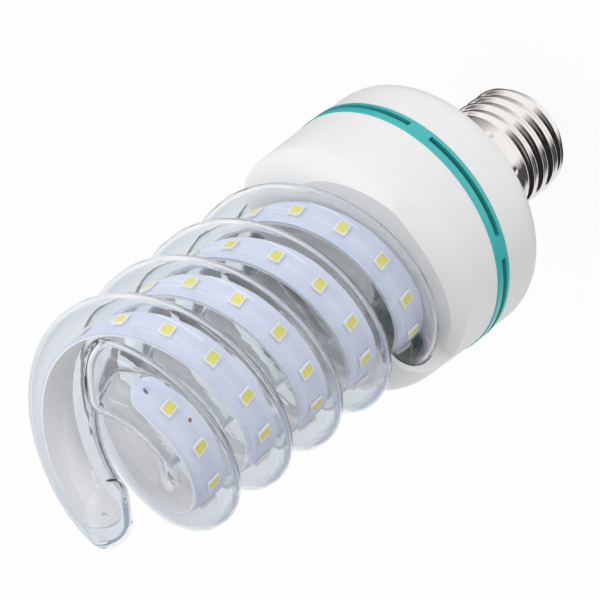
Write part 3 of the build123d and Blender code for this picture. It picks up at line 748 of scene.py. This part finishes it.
def make_screw_shell():
    """Spins the outline once round, then shapes the outer wall point by point."""
    bm = bmesh.new()
    shell_profile(bm)
    bmesh.ops.spin(
        bm,
        geom=list(bm.verts) + list(bm.edges),
        cent=(0, 0, 0),
        axis=(0, 0, 1),
        angle=math.radians(360),
        steps=SHELL_SPOKES,
        use_merge=True,
    )
    for vert in bm.verts:
        flat = Vector((vert.co.x, vert.co.y, 0))
        outward = flat.normalized()
        if flat.length > (SHELL_ROOT_R - SHELL_WALL / 2) * MM and vert.co.z < SKIRT_Z * MM:
            vert.co += outward * thread_swell(vert.co) * MM
        elif flat.length > (SKIRT_R - SHELL_WALL / 2) * MM:
            vert.co -= outward * dent_depth(vert.co) * MM
    bmesh.ops.recalc_face_normals(bm, faces=bm.faces)
    finish_piece(bm, "screw_cap_shell", NICKEL, ["screw_shell"], SMOOTH_ROUND)


make_screw_shell()

# Pieces that keep the CAD's own shape, smoothed
for node, name, material in (
    ("rear_housing", "rear_cone", WHITE),
    ("vent_ring", "vent_band", TEAL),
    ("front_housing", "front_cup", WHITE),
    ("led_strip_a", "strip_a", STRIP),
    ("led_strip_b", "strip_b", STRIP),
    ("cap_insulator", "cap_cone", GLASSY),
    ("centre_contact", "contact_disc", CONTACT),
    ("driver_board", "round_board", BOARD),
    ("bulk_capacitor", "tall_can", CAN),
    ("output_capacitor", "short_can", CAN),
    ("film_capacitor", "film_block", FILM),
    ("inductor_core", "drum_core", FERRITE),
    ("inductor_winding", "drum_winding", COPPER),
    ("bridge_rectifier", "rectifier", CHIP),
    ("driver_chip", "control_chip", CHIP),
    ("fuse_resistor", "fuse_body", LACQUER),
    ("live_lead", "live_wire", RED),
    ("neutral_lead", "neutral_wire", GREY),
    ("strip_leads_a", "strip_wires_a", GREY),
    ("strip_leads_b", "strip_wires_b", GREY),
):
    smoothed(node, name, material)


# Floor, light and world

def floor_in_metal(nodes, links, where, axes):
    """Brightness of the floor in polished metal: cards close by, an even tone further off."""
    far = remap(nodes, links, length_of(nodes, links, where), 0, 1, FLOOR_NEAR_R)
    return blend(nodes, links, far, cards(nodes, links, axes, FLOOR_CARDS), FLOOR_FAR)


def floor_material():
    """Pale floor: matte to the light, glowing white to sight, and cards to glass and metal."""
    material = bpy.data.materials.new("pale_floor")
    material.use_nodes = True
    nodes = material.node_tree.nodes
    links = material.node_tree.links
    nodes.clear()
    matte = nodes.new("ShaderNodeBsdfDiffuse")
    matte.inputs["Color"].default_value = (*FLOOR_PAINT, 1)
    glow = nodes.new("ShaderNodeEmission")
    path = nodes.new("ShaderNodeLightPath").outputs
    where = nodes.new("ShaderNodeTexCoord").outputs["Object"]
    axes = axes_of(nodes, links, where)

    glossy = path["Is Glossy Ray"]
    in_glass = path["Is Transmission Ray"]
    shown = calculate(nodes, links, "ADD", path["Is Camera Ray"], in_glass)
    seen = calculate(nodes, links, "ADD", shown, glossy, clamp=True)
    share = calculate(nodes, links, "MULTIPLY", seen, FLOOR_GLOW)

    # A ray bent by glass counts as glossy too, so that it is taken off
    in_metal = calculate(nodes, links, "SUBTRACT", glossy, in_glass, clamp=True)
    metal_tone = floor_in_metal(nodes, links, where, axes)
    level = blend(nodes, links, in_metal, 1.0, metal_tone, "FLOAT")
    glass_tone = cards(nodes, links, axes, FLOOR_IN_GLASS)
    links.new(level, glow.inputs["Strength"])
    links.new(blend(nodes, links, in_glass, grey(1.0), glass_tone), glow.inputs["Color"])

    surface = blend_shaders(nodes, links, share, matte.outputs["BSDF"], glow.outputs["Emission"])
    output = nodes.new("ShaderNodeOutputMaterial")
    links.new(surface, output.inputs["Surface"])
    return material


def make_floor():
    """Flat floor under the bulb, part of the stage and not of the bulb."""
    bm = bmesh.new()
    bmesh.ops.create_grid(bm, x_segments=1, y_segments=1, size=FLOOR_SIZE)
    mesh = bpy.data.meshes.new("floor")
    bm.to_mesh(mesh)
    bm.free()
    mesh.materials.append(floor_material())
    floor = bpy.data.objects.new("floor", mesh)
    bpy.context.scene.collection.objects.link(floor)


def make_world():
    """Studio room: even light, a bright surround through glass, dark and light cards in metal."""
    world = bpy.data.worlds.new("studio")
    bpy.context.scene.world = world
    world.use_nodes = True
    nodes = world.node_tree.nodes
    links = world.node_tree.links
    where = nodes.new("ShaderNodeTexCoord").outputs["Generated"]
    axes = axes_of(nodes, links, where)
    path = nodes.new("ShaderNodeLightPath").outputs

    overhead = remap(nodes, links, axes["Z"], 0, 1, ROOM_TOP)
    in_metal = blend(nodes, links, overhead, cards(nodes, links, axes, ROOM_CARDS), grey(1.0))
    through_glass = colour_stops(nodes, links, axes["Z"], ROOM_IN_GLASS)

    around = remap(nodes, links, axes["X"], 0, 1, (-1, 1))
    fall = remap(nodes, links, axes["Z"], 1.0, ROOM_ZENITH)
    even = nodes.new("ShaderNodeVectorMath")
    even.operation = "SCALE"
    links.new(blend(nodes, links, around, ROOM_DIM, ROOM_BRIGHT), even.inputs[0])
    links.new(fall, even.inputs["Scale"])

    # A ray bent by glass counts as glossy too, so that glass comes last
    colour = blend(nodes, links, path["Is Glossy Ray"], even.outputs["Vector"], in_metal)
    colour = blend(nodes, links, path["Is Transmission Ray"], colour, through_glass)
    links.new(colour, nodes["Background"].inputs["Color"])
    nodes["Background"].inputs["Strength"].default_value = 1.0


def add_softbox(name, power, lean, distance, width, height):
    """Rectangular lamp that lights the bulb from a side of the picture, unseen in metal."""
    rightward, upward, forward = lean
    direction = toward_camera * forward + image_up * upward + image_right * rightward
    data = bpy.data.lights.new(name, "AREA")
    data.shape = "RECTANGLE"
    data.size = width
    data.size_y = height
    data.energy = power
    lamp = bpy.data.objects.new(name, data)
    place = SOFTBOX_AIM + direction.normalized() * distance
    turn = (SOFTBOX_AIM - place).to_track_quat("-Z", "Y")
    lamp.matrix_world = Matrix.Translation(place) @ turn.to_matrix().to_4x4()
    lamp.visible_glossy = False
    bpy.context.scene.collection.objects.link(lamp)


make_floor()
make_world()
for softbox in SOFTBOXES:
    add_softbox(*softbox)
bpy.context.scene.view_settings.view_transform = "Standard"
